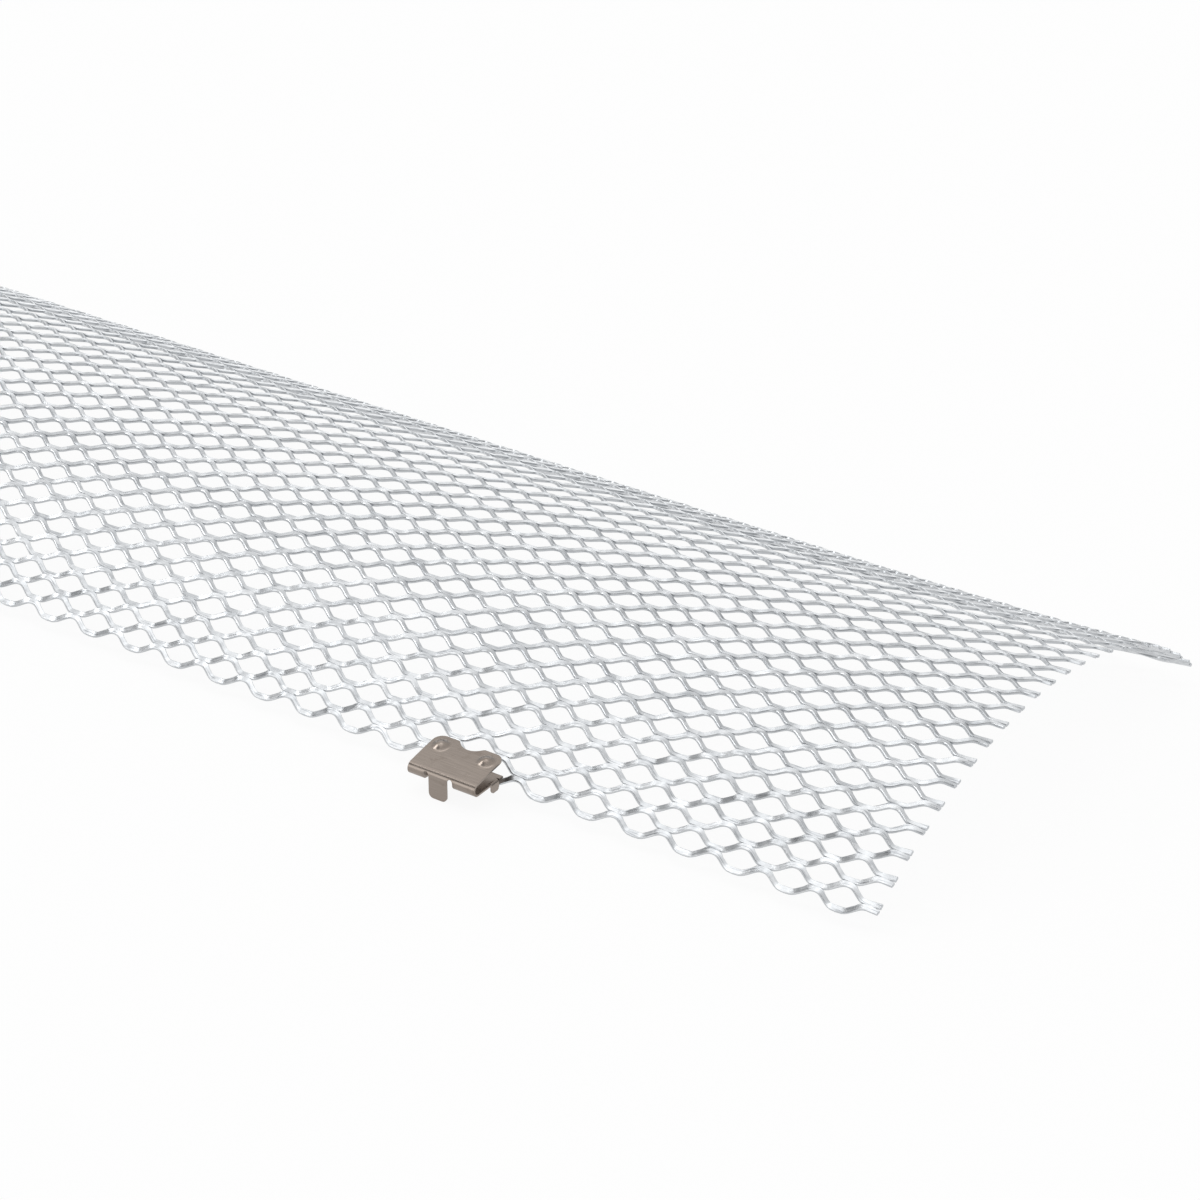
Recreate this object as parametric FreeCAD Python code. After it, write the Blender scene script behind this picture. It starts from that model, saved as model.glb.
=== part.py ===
import FreeCAD, Part
import math
import os

from FreeCAD import Vector

os.makedirs("parts", exist_ok=True)

# Expanded mesh: one slit and stretched steel sheet, arched across its width.
stripLength = 1000.0
longPitch = 14.0
halfRow = 3.77
ribbonCount = 46
ribbonsPerPanel = 6
rowTurn = 1.78
strandWidth = 1.36
strandThick = 0.80
strandTilt = -12.0
bondLength = 3.7

# Spring clip of thin steel sheet, hooked on the near long edge. Its leaf lies level when the sheet leans.
clipSheet = 0.5
clipWidth = 19.8
clipFromEnd = 114.4
clipLean = 36.3
clipReach = 10.5
clipHeight = 3.4
foldRadius = 1.4
plateDepth = 13.3
plateRise = 10.0
lobeRadius = 2.6
notchWidth = 7.0
notchDepth = 2.1
dimpleRadius = 2.0
dimpleRise = 0.5
dimpleSpacing = 13.4
dimpleFromFront = 9.0
leafDepth = 11.85
leafAboveEdge = 1.8
tongueWidth = 5.3
tongueOffset = -1.0
tongueDrop = 4.05
tongueCorner = 1.4
reliefWidth = 1.75
reliefRise = 1.8
windowDepth = 6.5
barbWidth = 2.9
barbDrop = 2.6
barbRadius = 0.6
barbCorner = 0.8
barbFromEdge = 0.35
barbSlit = 0.2

archRadius = halfRow / math.radians(rowTurn)
middleRibbon = (ribbonCount - 1) / 2
tilt = math.radians(strandTilt)
halfTurn = math.radians(rowTurn) / 2
axisX = Vector(1, 0, 0)
arcCentre = Vector(0, 0, 0)


def turnAboutArch(shape, ribbon):
    turned = shape.copy()
    turned.rotate(arcCentre, axisX, -(ribbon - middleRibbon) * rowTurn)
    return turned


# Section of one strand, drawn at the top of the arch, its edges mitred to meet its neighbours

def edgeNormal(side):
    lean = tilt - side * halfTurn
    return Vector(0, -math.sin(lean), math.cos(lean))


def bondPoint(side):
    return Vector(0, side * archRadius * math.sin(halfTurn), archRadius * math.cos(halfTurn))


across = Vector(0, math.cos(tilt), math.sin(tilt)) * (strandWidth / 2)
strandCorners = [
    across * -1 - edgeNormal(-1) * (strandThick / 2),
    across - edgeNormal(1) * (strandThick / 2),
    across + edgeNormal(1) * (strandThick / 2),
    across * -1 + edgeNormal(-1) * (strandThick / 2),
]
farBond = bondPoint(1) - across
nearBond = bondPoint(-1) + across


# Wavy course of one ribbon: level along each bond and sloping between bonds, cut at the strip's ends

def ribbonCourse(evenRibbon):
    pitches = math.floor(stripLength / longPitch)
    stations = []
    for half in range(2 * pitches + 3):
        middle = (half - pitches - 1) * longPitch / 2
        centre = farBond if (half % 2 == 1) == evenRibbon else nearBond
        stations.append((middle - bondLength / 2, centre))
        stations.append((middle + bondLength / 2, centre))
    return trimCourse(stations)


def trimCourse(stations):
    end = stripLength / 2
    course = []
    for (x0, c0), (x1, c1) in zip(stations, stations[1:]):
        low = max(x0, -end)
        high = min(x1, end)
        if high <= low:
            continue
        if not course:
            course.append((low, c0 + (c1 - c0) * ((low - x0) / (x1 - x0))))
        course.append((high, c0 + (c1 - c0) * ((high - x0) / (x1 - x0))))
    return course


def quad(a, b, c, d):
    return Part.Face(Part.makePolygon([a, b, c, d, a]))


def ribbonFaces(evenRibbon, joinedFar, joinedNear):
    course = ribbonCourse(evenRibbon)
    rings = [[Vector(x, 0, 0) + centre + corner for corner in strandCorners] for x, centre in course]
    faces = [quad(*rings[0]), quad(*rings[-1])]
    for (x0, c0), (x1, c1), ring, nextRing in zip(course, course[1:], rings, rings[1:]):
        onFarBond = joinedFar and c0.isEqual(farBond, 1e-9) and c1.isEqual(farBond, 1e-9)
        onNearBond = joinedNear and c0.isEqual(nearBond, 1e-9) and c1.isEqual(nearBond, 1e-9)
        for side in range(4):
            if (side == 1 and onFarBond) or (side == 3 and onNearBond):
                continue
            after = (side + 1) % 4
            faces.append(quad(ring[side], nextRing[side], nextRing[after], ring[after]))
    return faces


# A panel is a few ribbons that share their bonds, as one closed skin

def meshPanel(firstRibbon, ribbons):
    faces = []
    for step in range(ribbons):
        even = (firstRibbon + step) % 2 == 0
        for face in ribbonFaces(even, step < ribbons - 1, step > 0):
            faces.append(turnAboutArch(face, firstRibbon + step))
    skin = Part.makeShell(faces)
    skin.sewShape(1e-4)
    return Part.makeSolid(skin)


def meshPanels():
    panels = []
    patterns = {}
    for first in range(0, ribbonCount, ribbonsPerPanel):
        ribbons = min(ribbonsPerPanel, ribbonCount - first)
        key = (ribbons, first % 2)
        if key not in patterns:
            patterns[key] = (first, meshPanel(first, ribbons))
        firstBuilt, built = patterns[key]
        panels.append(turnAboutArch(built, middleRibbon + first - firstBuilt))
    return panels


# Bent sheet: a path of straight runs and bends, given the sheet's thickness and a width along the strip

def bentSheet(start, heading, steps, fromX, toX):
    edges = {1: [], -1: []}
    point = Vector(0, *start)
    angle = math.radians(heading)
    side = lambda p, a, k: p + Vector(0, -math.sin(a), math.cos(a)) * (k * clipSheet / 2)
    first = {k: side(point, angle, k) for k in edges}
    for kind, size, turn in steps:
        swing = math.radians(turn)
        if kind == "run":
            after = point + Vector(0, math.cos(angle), math.sin(angle)) * size
            for k in edges:
                edges[k].append(Part.makeLine(side(point, angle, k), side(after, angle, k)))
        else:
            way = math.copysign(1, swing)
            pivot = point + Vector(0, -math.sin(angle), math.cos(angle)) * (way * size)
            spoke = lambda a, radius: pivot - Vector(0, -math.sin(a), math.cos(a)) * (way * radius)
            after = spoke(angle + swing, size)
            for k in edges:
                radius = size - way * k * clipSheet / 2
                ends = [spoke(angle + swing * part, radius) for part in (0, 0.5, 1)]
                edges[k].append(Part.Arc(*ends).toShape())
        point = after
        angle += swing
    last = {k: side(point, angle, k) for k in edges}
    caps = [Part.makeLine(first[1], first[-1]), Part.makeLine(last[1], last[-1])]
    outline = Part.Wire(Part.__sortEdges__(edges[1] + edges[-1] + caps))
    face = Part.Face(outline)
    face.translate(Vector(fromX, 0, 0))
    return face.extrude(Vector(toX - fromX, 0, 0))


def block(x0, x1, y0, y1, z0, z1):
    return Part.makeBox(x1 - x0, y1 - y0, z1 - z0, Vector(x0, y0, z0))


def edgesAlong(solid, direction, test):
    picked = []
    for edge in solid.Edges:
        run = edge.Vertexes[-1].Point - edge.Vertexes[0].Point
        if run.Length > 1e-6 and run.cross(direction).Length < 1e-6 and test(edge.CenterOfMass):
            picked.append(edge)
    return picked


# The clip is drawn about the edge's outermost line, leaf level, then leaned and turned to the edge

def plateWaste(back, floorZ):
    half = clipWidth / 2
    up = Vector(0, 0, 1)
    roof = floorZ + clipHeight + plateDepth
    plan = block(-half, half, back - plateDepth, back, floorZ, roof)
    plan = plan.makeFillet(lobeRadius, edgesAlong(plan, up, lambda c: c.y > back - 0.1))
    radius = (notchWidth ** 2 / 4 + notchDepth ** 2) / (2 * notchDepth)
    plan = plan.cut(Part.makeCylinder(radius, roof - floorZ, Vector(0, back - notchDepth + radius, floorZ), up))
    corners = edgesAlong(plan, up, lambda c: c.y > back - 0.1 and abs(c.x) < notchWidth / 2 + 0.1)
    plan = plan.makeFillet(notchDepth / 2, corners)
    front = back - lobeRadius - notchDepth
    return block(-half - 1, half + 1, front, back + plateDepth, floorZ, roof).cut(plan)


def dimple(x, y, z):
    ball = (dimpleRadius ** 2 + dimpleRise ** 2) / (2 * dimpleRise)
    middle = Vector(0, 0, dimpleRise - ball - clipSheet)
    cap = lambda radius, z0: Part.makeSphere(radius, middle).common(block(-ball, ball, -ball, ball, z0, ball))
    dome = cap(ball + clipSheet, -clipSheet / 2)
    hollow = cap(ball, -clipSheet * 2)
    for shape in (dome, hollow):
        shape.rotate(Vector(0, 0, 0), axisX, plateRise)
        shape.translate(Vector(x, y, z))
    return dome, hollow


# Barb: a tab at the leaf's side, folded straight down just outside the edge of the mesh

def barb(side, leafMid):
    half = clipWidth / 2
    root = half - barbRadius - clipSheet / 2
    back = -barbFromEdge
    front = back - barbWidth
    steps = [("run", barbSlit, 0), ("bend", barbRadius, -90), ("run", barbDrop - barbRadius, 0)]
    span = (front, back) if side < 0 else (-back, -front)
    tab = bentSheet((root - barbSlit, leafMid), 0, steps, *span)
    tab.rotate(Vector(0, 0, 0), Vector(0, 0, 1), -side * 90)
    tab = tab.makeFillet(barbCorner, edgesAlong(tab, axisX, lambda c: c.z < leafMid - barbDrop + 0.1))
    ends = sorted((side * root, side * (half + clipSheet)))
    slot = block(*ends, front - barbSlit, back + barbSlit, leafMid - clipSheet, leafMid + clipSheet)
    return tab, slot


def springClip():
    half = clipWidth / 2
    rise = math.radians(plateRise)
    leafMid = leafAboveEdge + clipSheet / 2
    wallMid = -clipReach + clipSheet / 2
    outer = foldRadius + clipSheet / 2
    wallTop = leafAboveEdge + clipHeight - outer * math.cos(rise)
    wallFoot = leafMid + foldRadius

    def alongPlate(radius, run):
        y = wallMid + foldRadius - radius * math.sin(rise) + run * math.cos(rise)
        return y, wallTop + radius * math.cos(rise) + run * math.sin(rise)

    leafRun = leafDepth - clipSheet / 2 - foldRadius
    clip = bentSheet(
        alongPlate(foldRadius, plateDepth), 180 + plateRise,
        [("run", plateDepth, 0), ("bend", foldRadius, 90 - plateRise), ("run", wallTop - wallFoot, 0),
         ("bend", foldRadius, 90), ("run", leafRun, 0)],
        -half, half)
    clip = clip.cut(plateWaste(-clipReach + plateDepth * math.cos(rise), leafMid + clipSheet))

    # The tongue runs straight on from the front wall, freed from the leaf by a window with two rounded reliefs
    left = tongueOffset - tongueWidth / 2
    right = tongueOffset + tongueWidth / 2
    front = -clipReach - clipSheet
    tip = leafAboveEdge - tongueDrop
    reliefRadius = reliefWidth / 2
    reliefMid = leafAboveEdge + reliefRise - reliefRadius
    windowBack = -clipReach + windowDepth
    clip = clip.cut(block(left, right, front, windowBack, tip, wallFoot))
    for x0 in (left - reliefWidth, right):
        clip = clip.cut(block(x0, x0 + reliefWidth, front, windowBack, tip, reliefMid))
        middle = Vector(x0 + reliefRadius, front, reliefMid)
        clip = clip.cut(Part.makeCylinder(reliefRadius, 2 * foldRadius, middle, Vector(0, 1, 0)))
    tongue = bentSheet((wallMid, wallTop), 270, [("run", wallTop - tip, 0)], left, right)
    tongue = tongue.makeFillet(tongueCorner, edgesAlong(tongue, Vector(0, 1, 0), lambda c: c.z < tip + 0.1))
    clip = clip.fuse(tongue)

    for side in (-1, 1):
        tab, slot = barb(side, leafMid)
        clip = clip.cut(slot).fuse(tab)
    for side in (-1, 1):
        y, z = alongPlate(outer, dimpleFromFront - foldRadius)
        dome, hollow = dimple(side * dimpleSpacing / 2, y, z)
        clip = clip.fuse(dome).cut(hollow)
    clip = clip.removeSplitter().Solids[0]
    clip.rotate(Vector(0, 0, 0), axisX, -clipLean)
    clip.translate(Vector(stripLength / 2 - clipFromEnd, 0, archRadius))
    return turnAboutArch(clip, -0.5)


# At rest the strip lies on its far edge and on the clip's tongue

def restTurn(clip):
    points = [v.Point for v in clip.Vertexes]
    last = -(ribbonCount - 1 - middleRibbon) * rowTurn
    spin = FreeCAD.Rotation(axisX, last)
    points += [spin.multVec(farBond + corner) for corner in strandCorners]
    total = 0.0
    for _ in range(8):
        now = FreeCAD.Rotation(axisX, total)
        placed = [now.multVec(p) for p in points]
        near = min((p for p in placed if p.y < 0), key=lambda p: p.z)
        far = min((p for p in placed if p.y > 0), key=lambda p: p.z)
        total -= math.degrees(math.atan2(far.z - near.z, far.y - near.y))
    return total


clip = springClip()
pieces = {"mesh_panel_%d" % (i + 1): panel for i, panel in enumerate(meshPanels())}
pieces["spring_clip"] = clip

turn = restTurn(clip)
for shape in pieces.values():
    shape.rotate(arcCentre, axisX, turn)
whole = FreeCAD.BoundBox()
for shape in pieces.values():
    whole.add(shape.BoundBox)
home = Vector(-whole.Center.x, -whole.Center.y, -whole.ZMin)
for name, shape in pieces.items():
    shape.translate(home)
    shape.exportStep("parts/%s.step" % name)
    print(name, shape.ShapeType, shape.isValid(), len(shape.Solids), round(shape.Volume, 1))
print("rest turn", round(turn, 3), "size", whole.XLength, whole.YLength, whole.ZLength)
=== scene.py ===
import math
import bmesh
import bpy
import numpy as np
from mathutils import Matrix, Vector


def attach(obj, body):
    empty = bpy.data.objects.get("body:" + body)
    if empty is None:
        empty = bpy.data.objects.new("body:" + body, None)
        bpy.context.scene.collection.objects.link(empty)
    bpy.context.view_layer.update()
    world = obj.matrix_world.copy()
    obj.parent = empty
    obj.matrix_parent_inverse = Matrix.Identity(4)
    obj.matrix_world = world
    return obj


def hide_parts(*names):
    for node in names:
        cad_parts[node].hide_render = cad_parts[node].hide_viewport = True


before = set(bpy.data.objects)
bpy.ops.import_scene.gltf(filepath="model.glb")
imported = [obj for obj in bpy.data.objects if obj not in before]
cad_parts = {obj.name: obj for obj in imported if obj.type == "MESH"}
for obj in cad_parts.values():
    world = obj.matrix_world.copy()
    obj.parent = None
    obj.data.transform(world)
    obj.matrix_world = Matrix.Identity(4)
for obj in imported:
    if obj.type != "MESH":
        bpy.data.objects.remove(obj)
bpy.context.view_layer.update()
scene = bpy.context.scene
mm = 0.001


def linear(hexColour):
    # sRGB hex to linear RGBA
    parts = [int(hexColour[i:i + 2], 16) / 255 for i in (1, 3, 5)]
    return [c / 12.92 if c <= 0.04045 else ((c + 0.055) / 1.055) ** 2.4 for c in parts] + [1.0]


def newMaterial(name):
    mat = bpy.data.materials.new(name)
    mat.use_nodes = True
    mat.node_tree.nodes.clear()
    return mat, mat.node_tree


def node(tree, kind, settings=None, **links):
    # adds one node: settings go to its properties or sockets, links join its sockets to other nodes' outputs
    made = tree.nodes.new(kind)
    for key, value in (settings or {}).items():
        if isinstance(key, str) and hasattr(made, key):
            setattr(made, key, value)
        else:
            made.inputs[key].default_value = value
    for key, source in links.items():
        numbered = key[0] == "i" and key[1:].isdigit()
        socket = made.inputs[int(key[1:]) if numbered else key.replace("_", " ")]
        tree.links.new(source, socket)
    return made


# mesh strip, sizes in millimetres
meshSheet = dict(
    length=1000.0, pitch=14.0, halfRow=3.77, rowTurn=1.78, ribbons=46, perPanel=6,
    width=1.36, thick=0.80, tilt=-12.0, twist=22.0, roundOff=0.16, sharpAngle=32.0,
    bondSeam=0.03, bondReach=2.3, bondFade=1.2, edgeExtra=0.3,
    swayWaves=((0.43, 2.3), (0.171, -1.7)), swayTwist=0.12, swayLean=0.02, ribbonShift=37.0,
    crestFlat=2.6, crestRound=0.95, troughFlat=4.6, troughRound=0.6,
    archMidY=3.6476, archMidZ=-90.0783, restTurn=-0.9665,
    endOpening=0.032, endReach=38.0, endMargin=0.05, tabGap=0.05,
)


def strandWave(m):
    # one pitch of a strand from trough to trough: level, straight slope, level, slope back
    # a ramp between two levels, each level joined to it by a soft corner (a log-sum-exp maximum)
    half, tight, wide = m["pitch"] / 2, m["troughRound"], m["crestRound"]
    low, high = m["troughFlat"] / 2, half - m["crestFlat"] / 2
    # stations lie close together about the two corners
    x = np.array([0, low - 1.3 * tight, low - 0.4 * tight, low + 0.5 * tight, low + 1.5 * tight,
                  high - 1.2 * wide, high - 0.4 * wide, high + 0.4 * wide])
    soft = lambda d, r: r / 2 * np.logaddexp(0, 2 * d / r)
    ease = lambda d, r: 1 / (1 + np.exp(-2 * d / r))
    rise = soft(x - low, tight) - soft(x - high, wide)
    top = soft(half - low, tight) - soft(half - high, wide)
    slope = ease(x - low, tight) - ease(x - high, wide)
    scale = 2 / (top - rise[0])
    rise = (rise - rise[0]) * scale - 1
    back = slice(None, 0, -1)
    xs = np.concatenate([x, [half], 2 * half - x[back]])
    rises = np.concatenate([rise, [1.0], rise[back]])
    slopes = np.concatenate([slope, [0.0], -slope[back]]) * scale
    slopes[0] = 0.0
    return xs, rises, slopes


def onArch(x, along, height, m):
    # arc length from the near edge and height over the sheet, bent to a circle
    # the circle opens out a little at the cut ends
    radius = m["halfRow"] / math.radians(m["rowTurn"])
    start = math.radians(m["ribbons"] / 2 * m["rowTurn"] + m["restTurn"])
    fade = np.exp(-(m["length"] / 2 - np.abs(x)) / m["endReach"])
    bend = radius / (1 - m["endOpening"] * fade)
    angle = start - along / bend
    y = m["archMidY"] - (radius - bend) * math.sin(start) - (bend + height) * np.sin(angle)
    z = m["archMidZ"] + (radius - bend) * math.cos(start) + (bend + height) * np.cos(angle)
    return np.stack([x, y, z], axis=-1)


def ribbonRings(index, m):
    # one slit strand: a chamfered flat section carried along the wave, square to its path
    # it is tilted all along, and twisted one way on rising slopes and the other way on falling ones
    # at a bond the chamfer runs out and the strand widens to its neighbour: there they are one sheet
    w, t = m["width"] / 2, m["thick"] / 2
    tilt = math.radians(m["tilt"])
    swing = m["halfRow"] / 2 - w * math.cos(tilt)
    start = -m["length"] / 2
    pitches = math.floor(m["length"] / m["pitch"])
    firstTrough = -(pitches + 1) * m["pitch"] / 2 - (m["pitch"] / 2 if index % 2 else 0.0)
    xs, rises, slopes = strandWave(m)
    x = (firstTrough + np.arange(pitches + 3)[:, None] * m["pitch"] + xs[None, :]).ravel()
    lift, slope = np.tile(rises, pitches + 3), np.tile(slopes, pitches + 3) * swing
    inside = (x > start + m["endMargin"]) & (x < -start - m["endMargin"])
    ends = np.array([start, -start])
    liftEnds, slopeEnds = np.interp(ends, x, lift), np.interp(ends, x, slope)
    lift = np.concatenate([liftEnds[:1], lift[inside], liftEnds[1:]])[:, None]
    slope = np.concatenate([slopeEnds[:1], slope[inside], slopeEnds[1:]])[:, None]
    x = np.concatenate([ends[:1], x[inside], ends[1:]])[:, None]
    onPitch = (x - firstTrough) % m["pitch"]
    # past the last bond the two strands run on side by side to the cut, parting a little
    lastBond = start + (m["length"] - pitches * m["pitch"]) / 2
    beyond = np.abs(x) > -lastBond
    held = 1 - m["tabGap"] * np.clip(np.abs(x) + lastBond, 0, None)
    lift = np.where(beyond, -held if index % 2 else held, lift)
    slope = np.where(beyond, 0.0, slope)
    fromCrest = np.abs(onPitch - m["pitch"] / 2)
    nearBond = np.clip((m["bondReach"] - m["pitch"] / 2 + fromCrest) / m["bondFade"], 0, 1)
    farBond = np.clip((m["bondReach"] - fromCrest) / m["bondFade"], 0, 1)
    free = m["roundOff"] - m["bondSeam"]
    eFar = m["roundOff"] - free * farBond * (index < m["ribbons"] - 1)
    eNear = m["roundOff"] - free * nearBond * (index > 0)
    near = w + swing * (1 + lift) * nearBond * (index > 0) + m["edgeExtra"] * nearBond * (index == 0)
    far = w + swing * (1 - lift) * farBond * (index < m["ribbons"] - 1)
    across = np.hstack([far, far - eFar, eNear - near, -near, -near, eNear - near, far - eFar, far])
    flat = t + 0 * x
    upright = np.hstack([t - eFar, flat, flat, t - eNear, eNear - t, -flat, -flat, eFar - t])
    norm = np.sqrt(1 + slope ** 2)
    # no two strands lean quite alike: a slow sway that differs from ribbon to ribbon
    sway = sum(np.sin(wave * x + shift * index) for wave, shift in m["swayWaves"])
    turning = (slope / np.abs(slope).max() + np.sin(2 * math.pi * onPitch / m["pitch"])) / 2
    lean = tilt + math.radians(m["twist"]) * turning * (1 + m["swayTwist"] * sway) + m["swayLean"] * sway
    aside = across * np.cos(lean) - upright * np.sin(lean)
    px = np.clip(x - aside * slope / norm, start, -start)
    along = (index + 0.5) * m["halfRow"] + swing * lift + aside / norm
    height = -w * math.sin(tilt) * lift + across * np.sin(lean) + upright * np.cos(lean)
    own = np.stack([x + m["ribbonShift"] * index + 0 * across, across, upright], axis=-1)
    return onArch(px, along, height, m), own


def quadMesh(name, points, quads):
    mesh = bpy.data.meshes.new(name)
    mesh.vertices.add(len(points))
    mesh.vertices.foreach_set("co", np.asarray(points, dtype=np.float32).ravel())
    mesh.loops.add(quads.size)
    mesh.loops.foreach_set("vertex_index", quads.ravel().astype(np.int32))
    mesh.polygons.add(len(quads))
    mesh.polygons.foreach_set("loop_start", np.arange(0, quads.size, 4, dtype=np.int32))
    mesh.update(calc_edges=True)
    mesh.validate()
    return mesh


def tubeQuads(count, sides):
    # side faces of a tube of rings, then each end closed by three quads
    ring = np.arange(count - 1)[:, None] * sides
    side = np.arange(sides)[None, :]
    after = (side + 1) % sides
    corners = [ring + side, ring + sides + side, ring + sides + after, ring + after]
    walls = np.stack(corners, axis=-1).reshape(-1, 4)
    cap = np.array([[0, 1, 2, 3], [0, 3, 4, 7], [4, 5, 6, 7]])
    last = (count - 1) * sides + cap[:, ::-1]
    return np.concatenate([walls, cap, last])


def meshPanel(first, m, mat):
    ribbons = range(first, min(first + m["perPanel"], m["ribbons"]))
    points, quads, edges, places = [], [], [], []
    offset = 0
    for index in ribbons:
        rings, own = ribbonRings(index, m)
        faces = tubeQuads(rings.shape[0], 8)
        # the two side faces of each strand, marked for the painted shade of the slit edges
        sides = np.tile(np.array([0, 0, 0, 1, 0, 0, 0, 1.0]), rings.shape[0] - 1)
        points.append(rings.reshape(-1, 3) * mm)
        places.append(own.reshape(-1, 3) * mm)
        quads.append(faces + offset)
        edges.append(np.concatenate([sides, np.ones(6)]))
        offset += rings.shape[0] * 8
    name = "galvanisedMesh%d" % (first // m["perPanel"] + 1)
    mesh = quadMesh(name, np.concatenate(points), np.concatenate(quads))
    slit = mesh.attributes.new("slitEdge", "FLOAT", "FACE")
    slit.data.foreach_set("value", np.concatenate(edges).astype(np.float32))
    onStrand = mesh.attributes.new("onStrand", "FLOAT_VECTOR", "POINT")
    onStrand.data.foreach_set("vector", np.concatenate(places).astype(np.float32).ravel())
    mesh.polygons.foreach_set("use_smooth", np.ones(len(mesh.polygons), dtype=bool))
    mesh.set_sharp_from_angle(angle=math.radians(m["sharpAngle"]))
    mesh.materials.append(mat)
    obj = bpy.data.objects.new(name, mesh)
    scene.collection.objects.link(obj)
    return obj


# hot-dip galvanised steel: pale zinc with a soft cloudy spangle, drawn into fine streaks along each strand;
# the slit edges carry painted shade, one flat colour of their own below the bright zinc
zinc = dict(
    bright="#e2e4e6", dull="#b8bbbe", streakDark="#8e9297", edge="#c0c3c6",
    spangle=5.0, cloud=2.2, streakLength=8.0, streakWidth=0.4, streakShare=0.85, streakRelief=0.08,
    smoothest=0.22, roughest=0.38,
)


def galvanisedZinc(z):
    mat, tree = newMaterial("galvanised_zinc")
    place = node(tree, "ShaderNodeTexCoord").outputs["Object"]
    own = node(tree, "ShaderNodeAttribute", {"attribute_name": "onStrand"}).outputs["Vector"]
    squash = (z["streakWidth"] / z["streakLength"], 1.0, 1.0)
    drawn = node(tree, "ShaderNodeMapping", {"Scale": squash}, Vector=own)
    cells = node(tree, "ShaderNodeTexVoronoi", {"Scale": 1 / (z["spangle"] * mm)}, Vector=place)
    clouds = node(tree, "ShaderNodeTexNoise", {"Scale": 1 / (z["cloud"] * mm), "Detail": 3.0}, Vector=place)
    fine = {"Scale": 1 / (z["streakWidth"] * mm), "Detail": 3.0, "Roughness": 0.6}
    streaks = node(tree, "ShaderNodeTexNoise", fine, Vector=drawn.outputs["Vector"])
    tone = node(tree, "ShaderNodeMix", {"data_type": "FLOAT", "Factor": 0.6},
                i2=cells.outputs["Color"], i3=clouds.outputs["Fac"])
    share = node(tree, "ShaderNodeMapRange", {"From Min": 0.25, "From Max": 0.75}, Value=tone.outputs[0])
    tones = {"data_type": "RGBA", 6: linear(z["dull"]), 7: linear(z["bright"])}
    face = node(tree, "ShaderNodeMix", tones, i0=share.outputs["Result"])
    darkest = {"From Min": 0.45, "From Max": 0.33, "To Max": z["streakShare"]}
    lined = node(tree, "ShaderNodeMapRange", darkest, Value=streaks.outputs["Fac"])
    streaked = node(tree, "ShaderNodeMix", {"data_type": "RGBA", 7: linear(z["streakDark"])},
                    i0=lined.outputs["Result"], i6=face.outputs[2])
    # painted shade: the strands' side faces take the flat edge colour in place of the zinc, so the sides come
    # out shaded
    slit = node(tree, "ShaderNodeAttribute", {"attribute_name": "slitEdge"})
    colour = node(tree, "ShaderNodeMix", {"data_type": "RGBA", 7: linear(z["edge"])},
                  i0=slit.outputs["Fac"], i6=streaked.outputs[2])
    rough = node(tree, "ShaderNodeMapRange", {"To Min": z["smoothest"], "To Max": z["roughest"]},
                 Value=tone.outputs[0])
    relief = {"Strength": 0.35, "Distance": z["streakRelief"] * mm}
    bump = node(tree, "ShaderNodeBump", relief, Height=streaks.outputs["Fac"])
    shader = node(tree, "ShaderNodeBsdfPrincipled", {"Metallic": 1.0}, Base_Color=colour.outputs[2],
                  Roughness=rough.outputs["Result"], Normal=bump.outputs["Normal"])
    node(tree, "ShaderNodeOutputMaterial", Surface=shader.outputs["BSDF"])
    return mat


zincMat = galvanisedZinc(zinc)
panels = []
for number, first in enumerate(range(0, meshSheet["ribbons"], meshSheet["perPanel"])):
    panel = meshPanel(first, meshSheet, zincMat)
    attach(panel, "root")
    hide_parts("mesh_panel_%d" % (number + 1))
    panels.append(panel)
print("mesh panels", len(panels), "faces", sum(len(p.data.polygons) for p in panels))


# spring clip, sizes in millimetres about the edge's outermost line
springClip = dict(
    sheet=0.5, width=19.8, middleX=385.6, edgeY=-74.3124, edgeZ=2.9181, turn=3.6735,
    reach=10.5, height=3.4, fold=1.4, rise=10.0, depth=13.3, lobe=2.6, notchWidth=7.0, notchDepth=2.1,
    domeRadius=2.6, domeRise=0.95, domeSpacing=13.4, domeFromFront=9.5, plateCurl=0.0075, curlFrom=4.5,
    leafDepth=11.85, leafAbove=1.8, tongueMid=-1.0, tongueWidth=5.3, tongueDrop=4.05, tongueCorner=1.4,
    relief=1.75, windowDepth=6.5, barbWidth=2.9, barbDrop=2.6, barbRadius=0.6, barbCorner=0.8,
    barbFromEdge=0.35, barbSlit=0.2, reliefHead=0.25, notchBlend=0.3, bevel=0.1,
    tongueRows=13, barbColumns=12,
)


def fillSteps(stops, step):
    # values from the first stop to the last, through every stop, no further apart than the step
    runs = [np.linspace(a, b, max(1, math.ceil((b - a) / step)) + 1)[:-1] for a, b in zip(stops, stops[1:])]
    return np.concatenate(runs + [[stops[-1]]])


def foldPath(s, c):
    # middle of the sheet from the front of the fold: a short wall, an arc, then straight,
    # up to the plate or down to the leaf
    wallMid = -c["reach"] + c["sheet"] / 2
    rise = math.radians(c["rise"])
    outer = c["fold"] + c["sheet"] / 2
    wallTop = c["leafAbove"] + c["height"] - outer * math.cos(rise)
    wallFoot = c["leafAbove"] + outer
    half = (wallTop - wallFoot) / 2
    sweep = np.where(s > 0, math.pi / 2 - rise, math.pi / 2)
    past = np.maximum(np.abs(s) - half, 0)
    angle = np.minimum(past / c["fold"], sweep)
    run = past - angle * c["fold"]
    y = wallMid + c["fold"] * (1 - np.cos(angle)) + run * np.sin(sweep)
    up = np.minimum(np.abs(s), half) + c["fold"] * np.sin(angle) + run * np.cos(sweep)
    return y, (wallTop + wallFoot) / 2 + np.sign(s) * up, half


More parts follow.
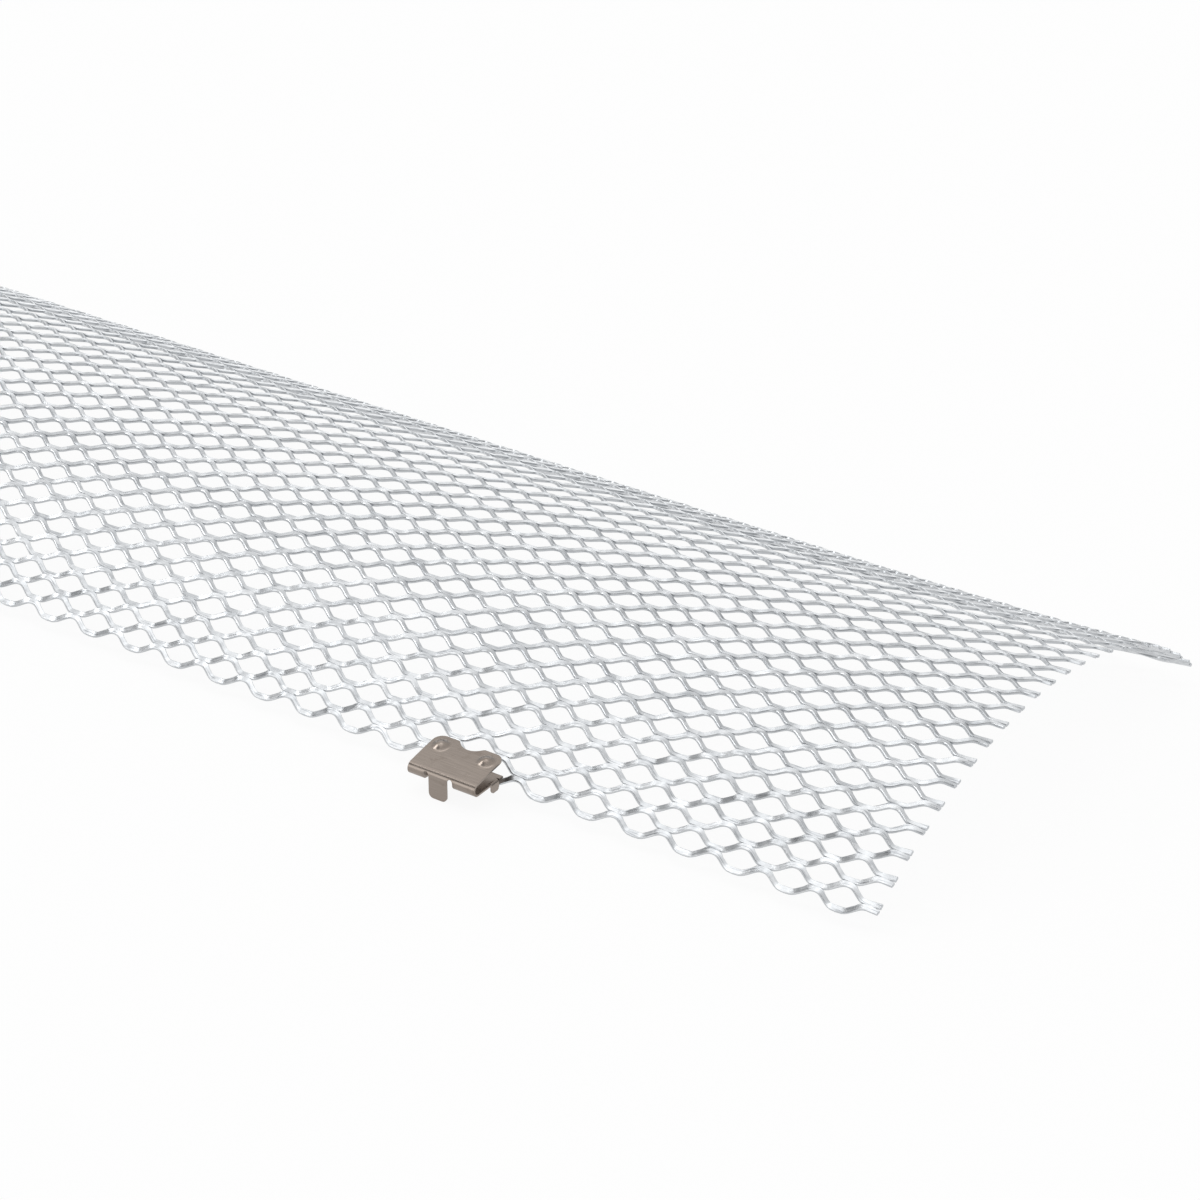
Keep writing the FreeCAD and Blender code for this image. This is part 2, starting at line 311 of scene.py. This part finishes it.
def plateBack(x, c):
    # back edge of the plate: round outer corners, and a round notch blended in by a soft minimum
    half, back = c["width"] / 2, -c["reach"] + c["depth"] * math.cos(math.radians(c["rise"]))
    past = np.clip(np.abs(x) - (half - c["lobe"]), 0, c["lobe"])
    lobes = back - c["lobe"] + np.sqrt(c["lobe"] ** 2 - past ** 2)
    radius = (c["notchWidth"] ** 2 / 4 + c["notchDepth"] ** 2) / (2 * c["notchDepth"])
    clear = c["depth"] * (np.abs(x) > radius)
    notch = back - c["notchDepth"] + radius - np.sqrt(np.maximum(radius ** 2 - x ** 2, 0)) + clear
    blend = c["notchBlend"]
    return -blend * np.logaddexp(-lobes / blend, -notch / blend)


def gridQuads(rows, columns):
    start = np.arange(rows - 1)[:, None] * columns + np.arange(columns - 1)[None, :]
    return np.stack([start, start + 1, start + columns + 1, start + columns], axis=-1)


def clipMesh(c):
    half, corner = c["width"] / 2, np.sin(np.linspace(0, math.pi / 2, 9))
    left, right = c["tongueMid"] - c["tongueWidth"] / 2, c["tongueMid"] + c["tongueWidth"] / 2
    barbRoot = half - c["barbRadius"] - c["sheet"] / 2
    # columns across the clip: every outline's corners, drawn closer where an outline turns
    stops = {-half, half, 0.0, barbRoot, -barbRoot}
    for side in (-1, 1):
        stops |= {side * (half - c["lobe"] + c["lobe"] * k) for k in corner[:-1]}
    for mid in (left - c["relief"] / 2, right + c["relief"] / 2):
        stops |= {mid + way * c["relief"] / 2 * k for k in corner for way in (-1, 1)}
    for k in corner:
        stops |= {left + c["tongueCorner"] * (1 - k), right - c["tongueCorner"] * (1 - k)}
    stops = sorted(round(v, 4) for v in stops)
    x = fillSteps(stops, 0.4)
    x = x[np.concatenate([[True], np.diff(x) > 1e-3])]

    # rows from the leaf's back, round the fold and over the plate to its back edge
    wall = foldPath(np.zeros(1), c)[2]
    wallMid, leafMid = -c["reach"] + c["sheet"] / 2, c["leafAbove"] + c["sheet"] / 2
    lower = wall + c["fold"] * math.pi / 2
    upper = wall + c["fold"] * (math.pi / 2 - math.radians(c["rise"]))
    onLeaf = lambda y: -(lower + y - wallMid - c["fold"])
    back, window = -c["reach"] + c["leafDepth"], -c["reach"] + c["windowDepth"]
    barbBack, barbFront = -c["barbFromEdge"], -c["barbFromEdge"] - c["barbWidth"]
    reliefTop = c["relief"] / 2 + c["reliefHead"]
    leafStops = [back, barbBack + c["barbSlit"], barbBack, barbBack - c["barbCorner"],
                 barbFront + c["barbCorner"], barbFront, barbFront - c["barbSlit"], window]
    leafRows = fillSteps([onLeaf(v) for v in leafStops] + [-lower, 0.0], 0.35)
    foldRows = fillSteps([0.0, reliefTop, upper], 0.22)[1:]
    plateRows = np.linspace(0, 1, 41)[1:]
    rise = math.radians(c["rise"])
    toBack = upper + (plateBack(x, c) - wallMid - c["fold"] * (1 - math.sin(rise))) / math.cos(rise)
    s = np.concatenate([np.repeat(leafRows[:, None], len(x), 1), np.repeat(foldRows[:, None], len(x), 1),
                        upper + plateRows[:, None] * (toBack - upper)[None, :]])
    # over each relief the rows between the fold's front and the relief's top close up on a half circle
    for mid in (left - c["relief"] / 2, right + c["relief"] / 2):
        inside = np.abs(x - mid) < c["relief"] / 2 + 1e-4
        arc = np.sqrt(np.maximum((c["relief"] / 2) ** 2 - (x - mid) ** 2, 0)) * inside
        close = (s >= 0) & (s <= reliefTop + 1e-6)
        s = np.where(close & inside, arc + s * (1 - arc / reliefTop), s)
    y, z = foldPath(s, c)[:2]
    # the plate curls down towards its back, by the square of the way past its middle
    z = z - c["plateCurl"] * np.maximum(s - upper - c["curlFrom"], 0) ** 2
    # two soft domes pressed up out of the plate: (1 - r squared) squared, along the plate's normal
    wide = np.repeat(x[None, :], len(s), 0)
    far = c["domeFromFront"] - c["fold"] + upper
    dome = 0
    for side in (-1, 1):
        apart = ((wide - side * c["domeSpacing"] / 2) ** 2 + (s - far) ** 2) / c["domeRadius"] ** 2
        dome = dome + np.maximum(1 - apart, 0) ** 2
    y, z = y - dome * c["domeRise"] * math.sin(rise), z + dome * c["domeRise"] * math.cos(rise)
    points = [np.stack([wide, y, z], axis=-1).reshape(-1, 3)]
    quads = gridQuads(len(s), len(x))
    cx, cs = (x[1:] + x[:-1]) / 2, (s[1:, 0] + s[:-1, 0]) / 2
    # faces left out: the window round the tongue, and a slot beside each barb
    windowRows = (cs < 0) & (cs > onLeaf(window))
    windowColumns = (cx > left - c["relief"]) & (cx < right + c["relief"])
    gone = windowRows[:, None] & windowColumns[None, :]
    beside = (cs < onLeaf(barbFront - c["barbSlit"])) & (cs > onLeaf(barbBack + c["barbSlit"]))
    gone |= beside[:, None] & (np.abs(cx) > barbRoot)[None, :]
    quads = [quads[~gone]]

    # the tongue runs straight down from the front of the fold to a tip with round corners
    tx = x[(x > left - 1e-4) & (x < right + 1e-4)]
    fromMid = np.abs(tx - c["tongueMid"])
    past = np.clip(fromMid - c["tongueWidth"] / 2 + c["tongueCorner"], 0, c["tongueCorner"])
    top = foldPath(np.zeros(1), c)[1][0]
    tip = c["leafAbove"] - c["tongueDrop"] + c["tongueCorner"] - np.sqrt(c["tongueCorner"] ** 2 - past ** 2)
    rows = c["tongueRows"]
    down = np.linspace(1, 0, rows)[:, None]
    tongue = np.stack([np.repeat(tx[None, :], rows, 0), np.full((rows, len(tx)), wallMid),
                       top - down * (top - tip)[None, :]], axis=-1)
    quads.append(gridQuads(rows, len(tx)).reshape(-1, 4) + len(points[0]))
    points.append(tongue.reshape(-1, 3))

    # a barb folded down at each side of the leaf, its lower corners round
    barbRows = leafRows[(leafRows < onLeaf(barbFront) + 1e-4) & (leafRows > onLeaf(barbBack) - 1e-4)]
    by = -lower - barbRows + wallMid + c["fold"]
    onBend, onDrop = c["barbColumns"] - 5, 5
    bend = np.linspace(0, math.pi / 2, onBend)[None, :]
    fromMid = np.abs(by - (barbFront + barbBack) / 2)
    past = np.clip(fromMid - c["barbWidth"] / 2 + c["barbCorner"], 0, c["barbCorner"])[:, None]
    drop = c["barbDrop"] - c["barbCorner"] + np.sqrt(c["barbCorner"] ** 2 - past ** 2)
    straight = np.linspace(0, 1, onDrop + 1)[None, 1:] * (drop - c["barbRadius"])
    out = np.hstack([np.repeat(c["barbRadius"] * np.sin(bend), len(by), 0),
                     np.full((len(by), onDrop), c["barbRadius"])])
    down = np.hstack([np.repeat(c["barbRadius"] * (1 - np.cos(bend)), len(by), 0),
                      c["barbRadius"] + straight])
    for side in (-1, 1):
        depth = np.repeat(by[:, None], c["barbColumns"], 1)
        tab = np.stack([side * (barbRoot + out), depth, leafMid - down], axis=-1)
        faces = gridQuads(len(by), c["barbColumns"]).reshape(-1, 4)
        quads.append((faces if side > 0 else faces[:, ::-1]) + sum(len(p) for p in points))
        points.append(tab.reshape(-1, 3))
    points = np.concatenate(points)
    turn = math.radians(c["turn"])
    placed = np.stack([c["middleX"] + points[:, 0],
                       c["edgeY"] + points[:, 1] * math.cos(turn) - points[:, 2] * math.sin(turn),
                       c["edgeZ"] + points[:, 1] * math.sin(turn) + points[:, 2] * math.cos(turn)], axis=-1)
    return quadMesh("springClip", placed * mm, np.concatenate([q.reshape(-1, 4) for q in quads]))


# satin spring steel: warm grey rolled strip, faint streaks across the clip, mottled with a little tarnish
springSteel = dict(
    light="#998f87", dark="#8d837b", stain="#6f6359", stainShare=0.6,
    streak=0.25, streakSquash=0.04, streakRelief=0.02, patch=4.0, smoothest=0.2, roughest=0.3,
)


def satinSteel(s):
    mat, tree = newMaterial("satin_spring_steel")
    place = node(tree, "ShaderNodeTexCoord").outputs["Object"]
    stretch = node(tree, "ShaderNodeMapping", {"Scale": (s["streakSquash"], 1.0, 1.0)}, Vector=place)
    streaks = node(tree, "ShaderNodeTexNoise", {"Scale": 1 / (s["streak"] * mm), "Detail": 4.0},
                   Vector=stretch.outputs["Vector"])
    patches = node(tree, "ShaderNodeTexNoise", {"Scale": 1 / (s["patch"] * mm), "Detail": 5.0}, Vector=place)
    share = node(tree, "ShaderNodeMapRange", {"From Min": 0.3, "From Max": 0.7}, Value=streaks.outputs["Fac"])
    tones = {"data_type": "RGBA", 6: linear(s["dark"]), 7: linear(s["light"])}
    strip = node(tree, "ShaderNodeMix", tones, i0=share.outputs["Result"])
    stained = {"From Min": 0.58, "From Max": 0.74, "To Max": s["stainShare"]}
    tarnish = node(tree, "ShaderNodeMapRange", stained, Value=patches.outputs["Fac"])
    colour = node(tree, "ShaderNodeMix", {"data_type": "RGBA", 7: linear(s["stain"])},
                  i0=tarnish.outputs["Result"], i6=strip.outputs[2])
    rough = node(tree, "ShaderNodeMapRange", {"To Min": s["smoothest"], "To Max": s["roughest"]},
                 Value=streaks.outputs["Fac"])
    relief = {"Strength": 0.07, "Distance": s["streakRelief"] * mm}
    bump = node(tree, "ShaderNodeBump", relief, Height=streaks.outputs["Fac"])
    shader = node(tree, "ShaderNodeBsdfPrincipled", {"Metallic": 1.0}, Base_Color=colour.outputs[2],
                  Roughness=rough.outputs["Result"], Normal=bump.outputs["Normal"])
    node(tree, "ShaderNodeOutputMaterial", Surface=shader.outputs["BSDF"])
    return mat


def clipObject(c, mat):
    mesh = clipMesh(c)
    bm = bmesh.new()
    bm.from_mesh(mesh)
    bmesh.ops.remove_doubles(bm, verts=bm.verts, dist=0.02 * mm)
    bm.to_mesh(mesh)
    bm.free()
    mesh.polygons.foreach_set("use_smooth", np.ones(len(mesh.polygons), dtype=bool))
    mesh.materials.append(mat)
    obj = bpy.data.objects.new("springClip", mesh)
    scene.collection.objects.link(obj)
    wall = obj.modifiers.new("sheet", "SOLIDIFY")
    wall.thickness = c["sheet"] * mm
    wall.offset = 0.0
    wall.use_even_offset = True
    edge = obj.modifiers.new("edge", "BEVEL")
    edge.width = c["bevel"] * mm
    edge.segments = 2
    edge.limit_method = "ANGLE"
    edge.angle_limit = math.radians(50)
    edge.harden_normals = True
    return obj


clip = clipObject(springClip, satinSteel(springSteel))
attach(clip, "root")
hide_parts("spring_clip")
print("spring clip faces", len(clip.data.polygons))


# floor, light and camera
studio = dict(
    floor="#f6f6f6", floorGlow=0.92, floorHalf=8.0,
    key=dict(place=(0.0, 0.0, 1.8), target=(0.2, 0, 0), size=(1.2, 1.2), power=1.0),
    sky=dict(way=(-0.352, 0.2, 0.914), dullest=0.52, brightest=1.08),
    strip=dict(middle=-0.17, core=0.04, rim=0.11, level=0.8, startsAt=-0.05, fullAt=-0.2),
    spots=(dict(way=(-0.22, 0.24, 0.945), rim=0.957, core=0.99, level=0.8),
           dict(way=(-0.69, -0.22, 0.69), rim=0.988, core=0.997, level=4.5),
           dict(way=(-0.38, -0.49, 0.785), rim=0.94, core=0.985, level=-0.55),
           dict(way=(-0.5, -0.84, 0.2), rim=0.9, core=0.975, level=1.3),
           dict(way=(-0.58, 0.79, 0.2), rim=0.94, core=0.985, level=0.8)),
)


def studioFloor(s):
    mat, tree = newMaterial("white_floor")
    rays = node(tree, "ShaderNodeLightPath")
    seen = node(tree, "ShaderNodeMath", {"operation": "MAXIMUM"},
                i0=rays.outputs["Is Camera Ray"], i1=rays.outputs["Is Glossy Ray"])
    seenToo = node(tree, "ShaderNodeMath", {"operation": "MAXIMUM"},
                   i0=seen.outputs[0], i1=rays.outputs["Is Transmission Ray"])
    matt = node(tree, "ShaderNodeBsdfDiffuse", {"Color": linear(s["floor"])})
    glow = node(tree, "ShaderNodeEmission", {"Color": (1, 1, 1, 1), "Strength": 1.0})
    share = node(tree, "ShaderNodeMath", {"operation": "MULTIPLY", 1: s["floorGlow"]}, i0=seenToo.outputs[0])
    mix = node(tree, "ShaderNodeMixShader", i0=share.outputs[0], i1=matt.outputs[0], i2=glow.outputs[0])
    node(tree, "ShaderNodeOutputMaterial", Surface=mix.outputs[0])
    half = s["floorHalf"]
    mesh = bpy.data.meshes.new("floor")
    corners = [(-half, -half, 0), (half, -half, 0), (half, half, 0), (-half, half, 0)]
    mesh.from_pydata(corners, [], [(0, 1, 2, 3)])
    mesh.materials.append(mat)
    obj = bpy.data.objects.new("floor", mesh)
    scene.collection.objects.link(obj)


def softbox(name, place, target, size, power):
    light = bpy.data.lights.new(name, "AREA")
    light.shape = "RECTANGLE"
    light.size, light.size_y = size
    light.energy = power
    obj = bpy.data.objects.new(name, light)
    obj.location = place
    obj.rotation_euler = (Vector(target) - Vector(place)).to_track_quat("-Z", "Y").to_euler()
    scene.collection.objects.link(obj)


def studioWorld(s):
    # a soft sky that falls off with the square of the cosine, a strip lamp along the left,
    # and round spots: an overhead lamp, a small window, a dark gap, a low fill in front and a card behind
    world = bpy.data.worlds.new("studio")
    scene.world = world
    world.use_nodes = True
    tree = world.node_tree
    tree.nodes.clear()
    toward = node(tree, "ShaderNodeTexCoord").outputs["Generated"]
    cosine = node(tree, "ShaderNodeVectorMath", {"operation": "DOT_PRODUCT", 1: s["sky"]["way"]}, i0=toward)
    above = node(tree, "ShaderNodeMath", {"operation": "MAXIMUM", 1: 0.0}, i0=cosine.outputs["Value"])
    square = node(tree, "ShaderNodeMath", {"operation": "POWER", 1: 2.0}, i0=above.outputs[0])
    sky = {"To Min": s["sky"]["dullest"], "To Max": s["sky"]["brightest"]}
    level = node(tree, "ShaderNodeMapRange", sky, Value=square.outputs[0]).outputs["Result"]
    strip = s["strip"]
    way = node(tree, "ShaderNodeSeparateXYZ", Vector=toward)
    aside = node(tree, "ShaderNodeMath", {"operation": "SUBTRACT", 1: strip["middle"]}, i0=way.outputs["Y"])
    off = node(tree, "ShaderNodeMath", {"operation": "ABSOLUTE"}, i0=aside.outputs[0])
    across = {"From Min": strip["rim"], "From Max": strip["core"], "To Max": strip["level"]}
    band = node(tree, "ShaderNodeMapRange", across, Value=off.outputs[0])
    onLeft = {"From Min": strip["startsAt"], "From Max": strip["fullAt"]}
    left = node(tree, "ShaderNodeMapRange", onLeft, Value=way.outputs["X"])
    lamp = node(tree, "ShaderNodeMath", {"operation": "MULTIPLY"},
                i0=band.outputs["Result"], i1=left.outputs["Result"])
    level = node(tree, "ShaderNodeMath", {"operation": "ADD"}, i0=level, i1=lamp.outputs[0]).outputs[0]
    for spot in s["spots"]:
        aim = node(tree, "ShaderNodeVectorMath", {"operation": "DOT_PRODUCT", 1: spot["way"]}, i0=toward)
        fall = {"From Min": spot["rim"], "From Max": spot["core"], "To Max": spot["level"]}
        patch = node(tree, "ShaderNodeMapRange", fall, Value=aim.outputs["Value"])
        added = node(tree, "ShaderNodeMath", {"operation": "ADD"}, i0=level, i1=patch.outputs["Result"])
        level = added.outputs[0]
    back = node(tree, "ShaderNodeBackground", {"Color": (1, 1, 1, 1)}, Strength=level)
    node(tree, "ShaderNodeOutputWorld", Surface=back.outputs[0])


studioFloor(studio)
studioWorld(studio)
softbox("key", **studio["key"])

# camera fitted to the cells of the photograph, in pitches from the first whole cell of the near edge
view = dict(
    place=(28.631, -18.933, 58.288), forward=(-0.4937, 0.3132, -0.8113), right=(0.8241, 0.4665, -0.3214),
    firstCell=10.0, focal=4115.0, image=1200.0, sensor=36.0,
)


def photoCamera(v, m):
    radius = m["halfRow"] / math.radians(m["rowTurn"])
    angle = math.radians((m["ribbons"] / 2 - 1) * m["rowTurn"] + m["restTurn"])
    cell = Vector((m["length"] / 2 - v["firstCell"], m["archMidY"] - radius * math.sin(angle),
                   m["archMidZ"] + radius * math.cos(angle)))
    turn = Matrix(((1, 0, 0), (0, math.cos(angle), -math.sin(angle)), (0, math.sin(angle), math.cos(angle))))
    place = cell + turn @ Vector(v["place"]) * m["pitch"]
    ahead = (turn @ Vector(v["forward"])).normalized()
    right = turn @ Vector(v["right"])
    right = (right - ahead * right.dot(ahead)).normalized()
    up = right.cross(ahead)
    data = bpy.data.cameras.new("photoCamera")
    data.sensor_width = v["sensor"]
    data.lens = v["sensor"] * v["focal"] / v["image"]
    data.clip_start = 0.01
    camera = bpy.data.objects.new("photoCamera", data)
    facing = Matrix((right, up, -ahead)).transposed().to_4x4()
    camera.matrix_world = Matrix.Translation(place * mm) @ facing
    scene.collection.objects.link(camera)
    scene.camera = camera


photoCamera(view, meshSheet)
scene.view_settings.view_transform = "Standard"
print("studio ready")
